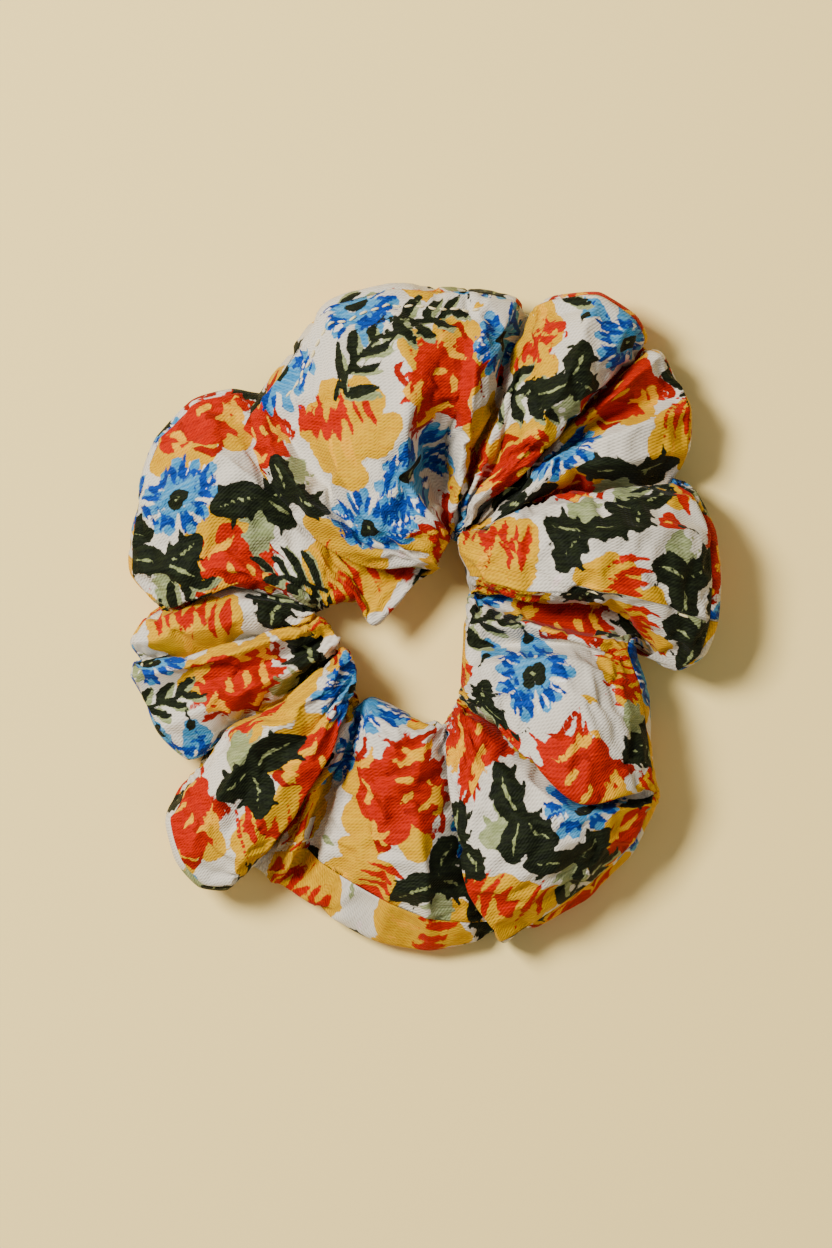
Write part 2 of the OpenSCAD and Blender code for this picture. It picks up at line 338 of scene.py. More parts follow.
def finer(values, axis, size, closed):
    """Values along one axis of a grid brought back from every SIM_SKIP-th place to all of them."""
    values = np.moveaxis(values, axis, 0)
    n = len(values)
    at = np.arange(size) / SIM_SKIP
    index = np.floor(at).astype(int)
    t = (at - index).reshape((-1,) + (1,) * (values.ndim - 1))

    def pick(i):
        return values[i % n if closed else np.clip(i, 0, n - 1)]

    a, b, c, d = pick(index - 1), pick(index), pick(index + 1), pick(index + 2)
    curve = b + 0.5 * t * (c - a + t * (2 * a - 5 * b + 4 * c - d + t * (3 * (b - c) + d - a)))
    return np.moveaxis(curve, 0, axis)


# ---------------------------------------------------------------- the print
# A generic floral of this script's own: motifs scattered over one repeat by a seeded rule.
# Each layer is a field over the repeat: how far inside its strokes a point lies, in mm.
LAYERS = ("blush", "yellow", "red", "crimson", "gold", "blue", "deep", "sage", "dark", "fern", "white")
REPEAT = (132.0, 116.0)
PRINT_STEP = 0.25
OUTSIDE = -3.0
PRINT_SEED = 11
PLACE_TRIES = 60
AVERAGED_ROWS = 18
# What fills one repeat, biggest first: the motif, how many, and its reach in mm.
MOTIFS = (("rose", 10, 11.5), ("poppy", 13, 11.5), ("daisy", 12, 8.5), ("leaves", 19, 8.4),
          ("sprig", 7, 8.0), ("bud", 10, 4.0), ("speck", 10, 1.8))


def turned(x, y, angle, points):
    """Points (along, across, half width) turned by angle in degrees and set at (x, y)."""
    c, s = math.cos(math.radians(angle)), math.sin(math.radians(angle))
    return [(x + a * c - b * s, y + a * s + b * c, w) for a, b, w in points]


def daisy(rng, x, y, size):
    """Ragged blue petals with darker brush marks round a dark eye."""
    petals = 11
    first = rng.uniform(0, 360)
    strokes = []
    for i in range(petals):
        a = first + 360 * i / petals + rng.uniform(-8, 8)
        reach = size * rng.uniform(0.8, 1.05)
        wide = size * 0.125
        strokes.append(("blue", turned(x, y, a, [(size * 0.2, 0, wide * 0.6), (reach * 0.6, 0, wide),
                                                 (reach * 0.86, rng.uniform(-0.5, 0.5), wide)])))
        for side in (-1, 1):
            start, end = size * rng.uniform(0.3, 0.5), reach * rng.uniform(0.8, 1.04)
            strokes.append(("deep", turned(x, y, a + side * 7, [
                (start, 0, 0.2), ((start + end) / 2, 0, 0.6), (end, side * 0.4, 0.25)])))
    for _ in range(5):
        strokes.append(("white", turned(x, y, rng.uniform(0, 360), [
            (size * 0.45, 0, 0.15), (size * 0.8, 0.4, 0.3)])))
    for _ in range(4):
        dx, dy = rng.uniform(-0.15, 0.15, 2) * size
        strokes.append(("dark", [(x + dx, y + dy, size * 0.15)]))
    strokes.append(("fern", [(x, y, size * 0.06)]))
    return strokes


# The rows of folds inside a rose: their distance from its middle as a share of its size, how
# many arcs each has, and its ink.
ROSE_FOLDS = ((0.2, 2, "gold"), (0.38, 3, "crimson"), (0.52, 3, "gold"), (0.7, 4, "gold"),
              (0.86, 4, "crimson"))


def rose(rng, x, y, size):
    """Crowded red petals with jagged tips, leaning on a yellow mass, with darker folds."""
    first = rng.uniform(0, 360)
    strokes = []
    for i in range(4):
        a = first + 150 + 38 * i + rng.uniform(-8, 8)
        strokes.append(("yellow", turned(x, y, a, [
            (size * 0.3, 0, size * 0.36), (size * 0.85, 0, size * 0.3)])))
    for i in range(6):
        a = first + i * 60 + rng.uniform(-12, 12)
        far = rng.uniform(0.85, 1.1)
        strokes.append(("red", turned(x, y, a, [(size * 0.2, -size * 0.1, size * 0.32),
                                                (size * 0.52 * far, size * 0.12, size * 0.27)])))
    for i in range(15):
        a = first + rng.uniform(-110, 130)
        tip = size * rng.uniform(0.85, 1.12)
        strokes.append(("red", turned(x, y, a, [
            (size * 0.5, 0, size * 0.1), (tip, rng.uniform(-1, 1), 0.12)])))
    for ring, arcs, colour in ROSE_FOLDS:
        for i in range(arcs):
            start = first + (i + rng.uniform(0, 0.5)) * 360 / arcs
            sweep = rng.uniform(0.35, 0.6) * 360 / arcs
            arc = []
            for k in range(5):
                a = math.radians(start + sweep * k / 4)
                r = size * ring * (1 + 0.16 * math.sin(k * 1.7 + 2 * i))
                wide = 0.1 + 0.62 * math.sin(math.pi * k / 4)
                arc.append((x + r * math.cos(a), y + r * math.sin(a), wide))
            strokes.append((colour, arc))
    return strokes


def poppy(rng, x, y, size):
    """A broad yellow bloom, ochre in its folds, with bold red strokes swept to one side."""
    first = rng.uniform(0, 360)
    strokes = []
    for i in range(6):
        a = first + 60 * i + rng.uniform(-12, 12)
        reach = size * rng.uniform(0.7, 1.05)
        strokes.append(("yellow", turned(x, y, a, [(0, 0, size * 0.34), (reach * 0.6, -1, size * 0.34),
                                                   (reach * 0.8, 1.5, size * 0.22)])))
    for i in range(7):
        across = size * (0.62 - 0.2 * i)
        start, end = size * rng.uniform(-0.35, 0.05), size * rng.uniform(0.45, 0.95)
        bend = rng.uniform(0.6, 1.6)
        strokes.append(("red", turned(x, y, first, [
            (start, across, 0.15), ((start + end) / 2, across + bend, rng.uniform(0.5, 1.25)),
            (end, across + bend * 0.3, 0.15)])))
    for i in range(3):
        across = size * rng.uniform(-0.6, 0.6)
        strokes.append(("gold", turned(x, y, first, [
            (-size * 0.7, across, 0.12), (-size * 0.3, across + 1, 0.5), (size * 0.1, across, 0.12)])))
    return strokes


def leaf(x, y, angle, length, width, colour, curl, teeth=0, vein=None):
    """A leaf from its stem at (x, y); teeth are lobes along both sides."""
    body = []
    for k in range(7):
        t = k / 6
        swell = math.sin(math.pi * min(1, t * 0.9 + 0.08)) ** 0.8
        body.append((length * t, curl * length * math.sin(math.pi * t) / 2, 0.2 + width / 2 * swell))
    strokes = [(colour, turned(x, y, angle, body))]
    for k in range(teeth):
        t = (k + 0.7) / (teeth + 0.6)
        for side in (-1, 1):
            out = width * 0.7 * math.sin(math.pi * t) + 0.5
            strokes.append((colour, turned(x, y, angle, [(length * (t - 0.12), 0, width * 0.2),
                                                         (length * (t + 0.1), side * out, 0.3)])))
    if vein:
        strokes.append((vein, turned(x, y, angle, [(length * 0.15, curl * length * 0.15, 0.2),
                                                   (length * 0.5, curl * length * 0.5, 0.35),
                                                   (length * 0.85, curl * length * 0.2, 0.12)])))
    return strokes


def sprig(rng, x, y, size):
    """A bent stem with long leaflets to both sides, dark over sage."""
    angle = rng.uniform(0, 360)
    bend = rng.uniform(-0.5, 0.5)
    x, y, _ = turned(x, y, angle, [(-size, 0, 0)])[0]
    length = 2 * size
    stem = [(0, 0, 0.5), (size, bend * 3, 0.45), (length, bend * 2, 0.2)]
    strokes = [("dark", turned(x, y, angle, stem))]
    for k in range(7):
        t = 0.1 + 0.13 * k
        side = 1 if k % 2 else -1
        lean = angle + side * (52 - 30 * t)
        px, py, _ = turned(x, y, angle, [(length * t, bend * 3 * math.sin(math.pi * t), 0)])[0]
        reach = size * (1 - 0.4 * t) * rng.uniform(0.8, 1.1)
        strokes += leaf(px + 0.5, py - 0.5, lean + side * 9, reach, reach * 0.32, "sage", 0)
        strokes += leaf(px, py, lean, reach, reach * 0.24, "dark", 0.2 * side)
    return strokes


def leaves(rng, x, y, size):
    """Broad dark leaves with pale veins, and a sage one behind them, from one point."""
    first = rng.uniform(0, 360)
    strokes = leaf(x, y, first + 70, size * 1.1, size * 0.55, "sage", 0.2, 3)
    for lean, share in ((0, 1.15), (140, 0.85), (215, 0.95)):
        a = first + lean + rng.uniform(-15, 15)
        strokes += leaf(x, y, a, size * share, size * 0.62, "dark", rng.uniform(-0.25, 0.25), 2, "fern")
    return strokes


def bud(rng, x, y, size):
    """A small closed flower, yellow, red or blue, in a dark cup on a short stem."""
    a = rng.uniform(0, 360)
    colour = ("yellow", "red", "blue")[rng.integers(3)]
    mark = {"yellow": "red", "red": "gold", "blue": "deep"}[colour]
    petal = [(0, 0, size * 0.3), (size, 0, size * 0.28)]
    strokes = [(colour, turned(x, y, a + lean, petal)) for lean in (-26, 0, 26)]
    strokes.append((mark, turned(x, y, a, [(size * 0.4, 0.3, 0.2), (size, 0.3, 0.45)])))
    strokes.append(("dark", turned(x, y, a, [
        (-size, 0, 0.25), (-size * 0.2, 0, 0.35), (0, 0, size * 0.28)])))
    return strokes


def speck(rng, x, y, size):
    """One loose brush mark on the pale ground."""
    colour = ("sage", "yellow", "dark", "blush", "blue")[rng.integers(5)]
    bend = rng.uniform(-0.5, 0.5)
    mark = [(-size, 0, 0.25), (0, bend, 0.75), (size, 0, 0.25)]
    return [(colour, turned(x, y, rng.uniform(0, 360), mark))]


def scattered(rng):
    """The motifs' places: each goes where it has the most room out of PLACE_TRIES random ones."""
    repeat = np.array(REPEAT)
    placed = []
    for kind, count, reach in MOTIFS:
        for _ in range(count):
            tries = rng.uniform(0, 1, (PLACE_TRIES, 2)) * repeat
            if placed:
                others = np.array([(x, y) for _, x, y, _ in placed])
                room = np.array([r for *_, r in placed])
                away = np.abs(tries[:, None] - others[None])
                away = np.minimum(away, repeat - away)
                clear = (np.linalg.norm(away, axis=2) - room).min(axis=1)
                x, y = tries[np.argmax(clear)]
            else:
                x, y = tries[0]
            placed.append((kind, x, y, reach * rng.uniform(0.88, 1.1)))
    return placed


def paint_repeat():
    """The layers' fields over one repeat, as an array [layer, x, y]."""
    rng = np.random.default_rng(PRINT_SEED)
    size = [round(side / PRINT_STEP) for side in REPEAT]
    fields = np.full((len(LAYERS), *size), OUTSIDE)

    def segment(field, x0, y0, w0, x1, y1, w1):
        reach = max(w0, w1) - OUTSIDE / 2
        spans = [np.arange(math.floor((min(a, b) - reach) / PRINT_STEP),
                           math.ceil((max(a, b) + reach) / PRINT_STEP))
                 for a, b in ((x0, x1), (y0, y1))]
        x, y = np.meshgrid(spans[0] * PRINT_STEP, spans[1] * PRINT_STEP, indexing="ij")
        dx, dy = x1 - x0, y1 - y0
        t = np.clip(((x - x0) * dx + (y - y0) * dy) / max(dx * dx + dy * dy, 1e-9), 0, 1)
        inside = w0 + (w1 - w0) * t - np.hypot(x - x0 - t * dx, y - y0 - t * dy)
        window = np.ix_(spans[0] % size[0], spans[1] % size[1])
        field[window] = np.maximum(field[window], inside)

    draw = {"rose": rose, "poppy": poppy, "daisy": daisy, "sprig": sprig, "leaves": leaves,
            "bud": bud, "speck": speck}
    for kind, x, y, reach in scattered(rng):
        for colour, points in draw[kind](rng, x, y, reach):
            ends = points if len(points) > 1 else points * 2
            for start, end in zip(ends, ends[1:]):
                segment(fields[LAYERS.index(colour)], *start, *end)
    return fields


def sampled(field, plane):
    """A field of the repeat read at points of the cloth's plane, in mm."""
    at = plane / PRINT_STEP
    low = np.floor(at).astype(int)
    f = at - low
    nx, ny = field.shape
    x0, y0, x1, y1 = low[:, 0] % nx, low[:, 1] % ny, (low[:, 0] + 1) % nx, (low[:, 1] + 1) % ny
    near = field[x0, y0] * (1 - f[:, 0]) + field[x1, y0] * f[:, 0]
    far = field[x0, y1] * (1 - f[:, 0]) + field[x1, y1] * f[:, 0]
    return near * (1 - f[:, 1]) + far * f[:, 1]


def unrolled(grid, reference, first, last):
    """Rows first..last of the cover laid flat, in mm: each column is a straight line across the
    cloth, and neighbouring columns keep their real distance, averaged about the reference row."""
    rows = grid[:, first:last]
    middle = reference - first
    span = rows[:, -1] - rows[:, 0]
    heading = np.unwrap(np.arctan2(span[:, 1], span[:, 0]))
    ray = np.stack([np.cos(heading), np.sin(heading)], axis=1)
    side = np.stack([ray[:, 1], -ray[:, 0]], axis=1)
    step = np.diff(rows, axis=0)
    side *= np.sign((step[:, middle, :2] * side[:-1]).sum())
    slope = np.gradient(rows, axis=1)[:-1]
    slope /= np.linalg.norm(slope, axis=2)[:, :, None]
    along = (step * slope).sum(axis=2)
    across = np.sqrt(np.maximum(0, (step**2).sum(axis=2) - along**2))
    forward = along[:, middle]
    sideways = across[:, middle - AVERAGED_ROWS:middle + AVERAGED_ROWS + 1].mean(axis=1)
    move = ray[:-1] * forward[:, None] + side[:-1] * sideways[:, None]
    base = np.concatenate([[[0.0, 0.0]], np.cumsum(move, axis=0)])
    arc = np.concatenate([np.zeros((len(rows), 1)),
                          np.cumsum(np.linalg.norm(np.diff(rows, axis=1), axis=2), axis=1)], axis=1)
    arc -= arc[:, middle:middle + 1]
    return base[:, None] + ray[:, None] * arc[:, :, None]


def add_print(obj, plane):
    """The print's fields and the flat place of each vertex, as attributes of the mesh, in mm."""
    fields = paint_repeat()
    for name, field in zip(LAYERS, fields):
        attribute = obj.data.attributes.new("print_" + name, "FLOAT", "POINT")
        attribute.data.foreach_set("value", sampled(field, plane).astype(np.float32))
    attribute = obj.data.attributes.new("flat_place", "FLOAT_VECTOR", "POINT")
    places = np.column_stack([plane, np.zeros(len(plane))])
    attribute.data.foreach_set("vector", places.astype(np.float32).ravel())


# ---------------------------------------------------------------- materials
# Each layer's two inks, sRGB: the body of the stroke and where the brush ran dry or doubled.
INKS = {
    "blush": ("#DCC4BA", "#E6D6CC"), "yellow": ("#D4A000", "#C89000"), "red": ("#B81C00", "#A01400"),
    "crimson": ("#8C1000", "#9C1600"), "gold": ("#E09A08", "#E8AC18"), "blue": ("#2E7AAA", "#5C98BC"),
    "deep": ("#0A3E98", "#082A6C"),
    "sage": ("#7F8858", "#989E72"), "dark": ("#11150A", "#1E2412"), "fern": ("#7E8753", "#98A06E"),
    "white": ("#E6E2DA", "#ECE8E2"),
}
GROUND = ("#DAD1BE", "#CEC5B4")
THREAD = ("#F2E2AE", "#E0CA88")
YARN = ("#D8D2C4", "#F4F1E8")
# How sharp an ink's edge is, how far it wanders in mm, the scales of the twill's two wave
# patterns, and the depths of the bumps in metres.
INK_EDGE = 7.0
INK_WANDER = 0.9
TWILL_DIAGONAL = 0.62
TWILL_CROSS = 0.55
WEAVE_DEPTH = 0.00009
RUMPLE_DEPTH = 0.0005
YARN_DEPTH = 0.00008


def linear(code):
    """A hex sRGB colour as linear RGBA."""
    parts = [int(code[i:i + 2], 16) / 255 for i in (1, 3, 5)]
    return (*[p / 12.92 if p <= 0.04045 else ((p + 0.055) / 1.055) ** 2.4 for p in parts], 1)


class Nodes:
    """Short ways to add and join shader nodes."""

    def __init__(self, name):
        self.material = bpy.data.materials.new(name)
        self.material.use_nodes = True
        self.tree = self.material.node_tree
        self.shader = self.tree.nodes["Principled BSDF"]

    def add(self, kind, **settings):
        node = self.tree.nodes.new("ShaderNode" + kind)
        for key, value in settings.items():
            setattr(node, key, value)
        return node

    def feed(self, socket, value):
        if isinstance(value, bpy.types.NodeSocket):
            self.tree.links.new(value, socket)
        else:
            socket.default_value = value

    def math(self, operation, a, b=0.0, c=0.0, clamp=False):
        node = self.add("Math", operation=operation, use_clamp=clamp)
        for socket, value in zip(node.inputs, (a, b, c)):
            self.feed(socket, value)
        return node.outputs[0]

    def mix(self, factor, a, b, blend="MIX"):
        node = self.add("Mix", data_type="RGBA", blend_type=blend)
        for socket, value in ((node.inputs[0], factor), (node.inputs[6], a), (node.inputs[7], b)):
            self.feed(socket, value)
        return node.outputs[2]

    def set(self, node, values):
        for name, value in values.items():
            self.feed(node.inputs[name], value)

    def noise(self, place, scale, detail=2.0, roughness=0.5):
        node = self.add("TexNoise")
        self.set(node, {"Vector": place, "Scale": scale, "Detail": detail, "Roughness": roughness})
        return node.outputs["Fac"]

    def wave(self, place, scale, distortion, **settings):
        node = self.add("TexWave", **settings)
        self.set(node, {"Vector": place, "Scale": scale, "Distortion": distortion})
        return node.outputs["Fac"]

    def attribute(self, name, output):
        return self.add("Attribute", attribute_name=name).outputs[output]

    def stretched(self, place, scale, angle=0.0):
        node = self.add("Mapping")
        self.set(node, {"Vector": place, "Scale": scale, "Rotation": (0, 0, angle)})
        return node.outputs["Vector"]

    def bump(self, height, distance, strength, normal=None):
        node = self.add("Bump")
        self.set(node, {"Distance": distance, "Strength": strength, "Height": height})
        if normal is not None:
            self.feed(node.inputs["Normal"], normal)
        return node.outputs["Normal"]


def cloth_material():
    """Fine printed twill: inks with brushed edges, diagonal threads with painted shade in the gaps
    between them, a soft sheen.
    """
    n = Nodes("printed_twill")
    flat = n.attribute("flat_place", "Vector")
    streak = n.noise(n.stretched(flat, (0.35, 1.6, 1), 0.6), 1.0, 3.0, 0.6)
    wash = n.noise(flat, 0.12, 3.0)
    wobble = n.math("MULTIPLY", n.math("SUBTRACT", n.noise(flat, 0.9, 3.0, 0.6), 0.5), INK_WANDER)
    dry = n.math("SUBTRACT", streak, 0.36, clamp=True)
    colour = n.mix(wash, linear(GROUND[0]), linear(GROUND[1]))
    tone = n.math("MULTIPLY", n.math("SUBTRACT", streak, 0.42), 5.0, clamp=True)
    for name in LAYERS:
        inside = n.math("ADD", n.attribute("print_" + name, "Fac"), wobble)
        mask = n.math("MULTIPLY_ADD", inside, INK_EDGE, 0.5, clamp=True)
        ink = n.mix(tone, linear(INKS[name][0]), linear(INKS[name][1]))
        colour = n.mix(mask, colour, ink)
    diagonal = n.wave(n.stretched(flat, (1, 1, 1), 0.9), TWILL_DIAGONAL, 0.6, bands_direction="X")
    diagonal.node.inputs["Detail Scale"].default_value = 2.0
    cross = n.wave(flat, TWILL_CROSS, 0.5, bands_direction="Y")
    weave = n.math("MULTIPLY_ADD", cross, 0.5, n.math("MULTIPLY", diagonal, 0.7))
    # The weave darkens the colour between its threads: painted shade in the gaps, multiplied over the
    # print.
    shade = n.math("MULTIPLY_ADD", weave, 0.3, 0.78)
    painted_weave_shade = n.add("CombineColor")
    n.set(painted_weave_shade, dict.fromkeys(("Red", "Green", "Blue"), shade))
    rumple = n.bump(n.noise(n.stretched(flat, (0.5, 0.25, 1)), 0.8, 3.0), RUMPLE_DEPTH, 0.5)
    n.set(n.shader, {
        "Base Color": n.mix(1.0, colour, painted_weave_shade.outputs[0], "MULTIPLY"),
        "Roughness": n.math("MULTIPLY_ADD", weave, 0.12, n.math("MULTIPLY_ADD", dry, 0.2, 0.55)),
        "Specular IOR Level": 0.07, "Sheen Weight": 0.03, "Sheen Roughness": 0.45,
        "Normal": n.bump(weave, WEAVE_DEPTH, 0.9, rumple),
    })
    return n.material


def thread_material():
    """Spun sewing thread: cream, with its twist as fine slanting ridges."""
    n = Nodes("sewing_thread")
    place = n.add("TexCoord").outputs["Object"]
    twist = n.wave(place, 900, 1.5, bands_direction="DIAGONAL")
    fuzz = n.noise(place, 1400, 3.0)
    tone = n.math("MULTIPLY_ADD", twist, 0.6, n.math("MULTIPLY", fuzz, 0.5), clamp=True)
    n.set(n.shader, {
        "Base Color": n.mix(tone, linear(THREAD[1]), linear(THREAD[0])),
        "Roughness": n.math("MULTIPLY_ADD", fuzz, 0.3, 0.5),
        "Sheen Weight": 0.3,
        "Normal": n.bump(twist, YARN_DEPTH, 0.8),
    })
    return n.material


def elastic_material():
    """Braided elastic: white covering yarns, a little greyer in random patches."""
    n = Nodes("braided_elastic")
    place = n.add("TexCoord").outputs["Object"]
    yarn = n.wave(place, 500, 3, wave_type="RINGS", rings_direction="Z")
    fuzz = n.noise(place, 1600, 3.0)
    n.set(n.shader, {
        "Base Color": n.mix(fuzz, linear(YARN[0]), linear(YARN[1])),
        "Roughness": n.math("MULTIPLY_ADD", fuzz, 0.25, 0.6),
        "Sheen Weight": 0.2,
        "Normal": n.bump(yarn, YARN_DEPTH, 0.7),
    })
    return n.material


# ---------------------------------------------------------------- the elastic's route
BAND_WIDTH = 6.0
BAND_THICKNESS = 0.9
BAND_OVERLAP = 12.0
JOIN_ANGLE = math.radians(190)
ROUTE_STEPS = 120
BAND_CLEARANCE = 1.3
BAND_DRIFT = 6
# The rows of the cover, before and after the one at the hair opening, that are its inner wall.
WALL_ROWS = (14, 4)
# How far to each side of the band, and over its top edge, the cloth is kept off it.
COVER_REACH = 2.4
COVER_GAP = 1.0
band_low, band_high = (np.array(corner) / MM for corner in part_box("elastic_band"))
BAND_CENTRE = (band_low + band_high) / 2
BAND_RADIUS = (band_high[1] - band_low[1]) / 2 - BAND_THICKNESS / 2


def polar(points):
    """Angle, 0 to a full turn, and distance of points from the elastic loop's axis."""
    flat = points[..., :2] - BAND_CENTRE[:2]
    return np.mod(np.arctan2(flat[..., 1], flat[..., 0]), 2 * math.pi), np.linalg.norm(flat, axis=-1)


def band_route(grid):
    """The band's radius at even angles: its own, or more where the cloth's inner wall is wider."""
    wall = grid[:, UNDER_ROWS - WALL_ROWS[0]:UNDER_ROWS + WALL_ROWS[1]].reshape(-1, 3)
    wall = wall[np.abs(wall[:, 2] - BAND_CENTRE[2]) < BAND_WIDTH / 2 + 1]
    angle, radius = polar(wall)
    place = np.floor(angle / (2 * math.pi) * ROUTE_STEPS).astype(int) % ROUTE_STEPS
    route = np.full(ROUTE_STEPS, BAND_RADIUS)
    np.maximum.at(route, place, np.minimum(radius, BAND_RADIUS + BAND_DRIFT) + BAND_CLEARANCE)
    for _ in range(3):
        route = np.maximum(route, (np.roll(route, 1) + np.roll(route, -1)) / 2)
    return smooth(route, 4)


def route_at(route, angle):
    """The route's radius at any angle."""
    steps = np.arange(ROUTE_STEPS + 1) * 2 * math.pi / ROUTE_STEPS
    return np.interp(np.mod(angle, 2 * math.pi), steps, np.append(route, route[0]))


def over_band(grid, route):
    """The upper side of the cloth, lifted where it would sink into the band's top edge."""
    top = grid[:, UNDER_ROWS:]
    angle, radius = polar(top)
    away = (radius - route_at(route, angle)) / COVER_REACH
    least = BAND_CENTRE[2] + BAND_WIDTH / 2 + COVER_GAP - away**2
    soft = top[..., 2] - least
    lifted = least + np.sqrt((soft / 2) ** 2 + 0.04) + soft / 2
    top[..., 2] = np.where(np.abs(away) < 1.6, np.maximum(top[..., 2], lifted), top[..., 2])
    return grid


# ---------------------------------------------------------------- the cover
ALLOWANCE = 6.0
ALLOWANCE_ROWS = 6
INNER_ROW = ALLOWANCE_ROWS + UNDER_ROWS - 8
TOP_REFERENCE = ALLOWANCE_ROWS + UNDER_ROWS + 44
UNDER_REFERENCE = ALLOWANCE_ROWS + 24
UNDER_OFFSET = (37.0, 61.0)
LOWEST = 0.35


def laid_down(grid):
    """Points below the floor brought back onto it, softly."""
    grid = grid.copy()
    above = grid[..., 2] - LOWEST
    grid[..., 2] = LOWEST + (above + np.sqrt(above**2 + 0.1)) / 2
    return grid


def inward(grid):
    """The level direction from each column's outer rim towards the hair opening."""
    return unit(grid[:, UNDER_ROWS, :2] - grid[:, 0, :2])


def with_allowances(grid):
    """The strip's two long edges carried on inside the tube, past the seam at the outer rim."""
    ray = inward(grid)
    rim = grid[:, 0]
    depth = np.linspace(0, ALLOWANCE, ALLOWANCE_ROWS + 1)[1:]

    def turned_in(rise):
        rows = np.repeat(rim[:, None], ALLOWANCE_ROWS, axis=1)
        rows[:, :, :2] += ray[:, None] * depth[:, None]
        rows[:, :, 2] += rise * (1 - np.exp(-depth)) - 0.12 * depth
        return rows

    return np.concatenate([turned_in(-0.3)[:, ::-1], grid, turned_in(0.3)], axis=1)


def seam_column(grid):
    """The column of the cover that lies over the CAD's cross seam."""
    low, high = (np.array(corner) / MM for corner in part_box("cross_seam_thread"))
    aim = math.atan2(*((low + high) / 2 - [*CENTRE, 0])[[1, 0]])
    rim = grid[:, ALLOWANCE_ROWS, :2] - CENTRE
    return int(np.argmin(np.abs(np.angle(np.exp(1j * (np.arctan2(rim[:, 1], rim[:, 0]) - aim))))))


def print_plane(grid, seam):
    """Where every vertex of the cover lies on the flat cloth, from the cross seam round."""
    whole = np.roll(grid, -seam, axis=0)
    plane = np.empty((*grid.shape[:2], 2))
    plane[:, INNER_ROW:] = unrolled(whole, TOP_REFERENCE, INNER_ROW, grid.shape[1])
    plane[:, :INNER_ROW] = unrolled(whole, UNDER_REFERENCE, 0, INNER_ROW) + UNDER_OFFSET
    return np.roll(plane, seam, axis=0).reshape(-1, 2)


def along_with_the_ring(piece):
    """The piece's placement baked into its mesh."""
    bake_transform(piece)


def make_cover(grid):
    """The printed cloth, as one piece in place of the ten puffs."""
    cover = grid_mesh("cloth_cover", grid)
    add_print(cover, print_plane(grid, seam_column(grid)))
    cover.data.materials.append(cloth_material())
    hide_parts(*[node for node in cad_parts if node.startswith("puff_")])
    along_with_the_ring(cover)


# ---------------------------------------------------------------- threads
THREAD_RADIUS = 0.23
THREAD_SIDES = 8
STITCH = 1.5
STITCH_PITCH = 2.1
# How high a stitch stands over the cloth along its length, in mm: it dives in at both ends.
STITCH_LIFT = (-0.12, 0.14, 0.24, 0.24, 0.14, -0.12)
SEAM_INSET = 1.6
SEAM_WAVE = 0.35
SEAM_WAVE_COLUMNS = 5
SEAM_DROP = 0.2
TOPSTITCH_INSET = 5.0
TOPSTITCH_STATIONS = (3.4, 9.0)


def tubes(name, paths, radius, closed=False):
    """One mesh of round tubes along rows of points in mm, with rounded ends unless closed."""
    verts, faces = [], []
    turn = np.arange(THREAD_SIDES) * 2 * math.pi / THREAD_SIDES
    for path in paths:
        path = np.asarray(path, float)
        count = len(path)
        if closed:
            ahead = np.roll(path, -1, axis=0) - np.roll(path, 1, axis=0)
        else:
            ahead = np.gradient(path, axis=0)
        ahead = unit(ahead)
        side = unit(np.cross(ahead, (0.31, 0.23, 0.92)))
        up = np.cross(side, ahead)
        girth = np.full(count, radius)
        if not closed:
            girth[[0, -1]] *= 0.45
            girth[[1, -2]] *= 0.9
        rings = path[:, None] + girth[:, None, None] * (
            side[:, None] * np.cos(turn)[:, None] + up[:, None] * np.sin(turn)[:, None])
        first = len(verts)
        verts += rings.reshape(-1, 3).tolist()
        for i in range(count if closed else count - 1):
            here, ahead_ring = first + i * THREAD_SIDES, first + (i + 1) % count * THREAD_SIDES
            for k in range(THREAD_SIDES):
                following = (k + 1) % THREAD_SIDES
                faces.append((here + k, here + following, ahead_ring + following, ahead_ring + k))
        if not closed:
            faces.append(tuple(first + k for k in reversed(range(THREAD_SIDES))))
            faces.append(tuple(first + (count - 1) * THREAD_SIDES + k for k in range(THREAD_SIDES)))
    return linked(name, verts, faces)


def spaced(path, step):
    """A row of points resampled at even distances."""
    run = run_length(path)
    at = np.arange(0, run[-1], step)
    return np.stack([np.interp(at, run, path[:, k]) for k in range(3)], axis=1)


def topstitch_paths(grid):
    """One short path for each stitch, on the upper side just inside the rim."""
    first, last = (round(station * COLUMNS / len(STATIONS)) for station in TOPSTITCH_STATIONS)
    line = []
    for column in range(first, last):
        rows = grid[column, ALLOWANCE_ROWS + UNDER_ROWS:-ALLOWANCE_ROWS][::-1]
        line.append([np.interp(TOPSTITCH_INSET, run_length(rows), rows[:, k]) for k in range(3)])
    points = len(STITCH_LIFT)
    step = STITCH / (points - 1)
    line = spaced(np.array(line), step)
    rise = np.outer(STITCH_LIFT, (0, 0, 1))
    return [line[i:i + points] + rise for i in range(0, len(line) - points, round(STITCH_PITCH / step))]


def make_threads(grid):
    """The topstitch, and the two seams as running threads just inside the cloth."""
    material = thread_material()
    ray = inward(grid[:, ALLOWANCE_ROWS:-ALLOWANCE_ROWS])
    seam_line = grid[:, ALLOWANCE_ROWS].copy()
    seam_line[:, :2] += ray * SEAM_INSET
    wave = np.sin(np.arange(len(seam_line)) * 2 * math.pi / SEAM_WAVE_COLUMNS)
    seam_line[:, 2] += SEAM_WAVE * wave - SEAM_DROP
    section = grid[seam_column(grid), ALLOWANCE_ROWS:-ALLOWANCE_ROWS - 1]
    cross_line = section + unit(section.mean(axis=0) - section) * SEAM_INSET
    pieces = {
        "closing_topstitch": tubes("visible_topstitch", topstitch_paths(grid), THREAD_RADIUS),
        "long_seam_thread": tubes("long_seam_stitches", [seam_line], THREAD_RADIUS, closed=True),
        "cross_seam_thread": tubes("cross_seam_stitches", [cross_line], THREAD_RADIUS, closed=True),
    }
    for node, piece in pieces.items():
        piece.data.materials.append(material)
        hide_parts(node)
        along_with_the_ring(piece)


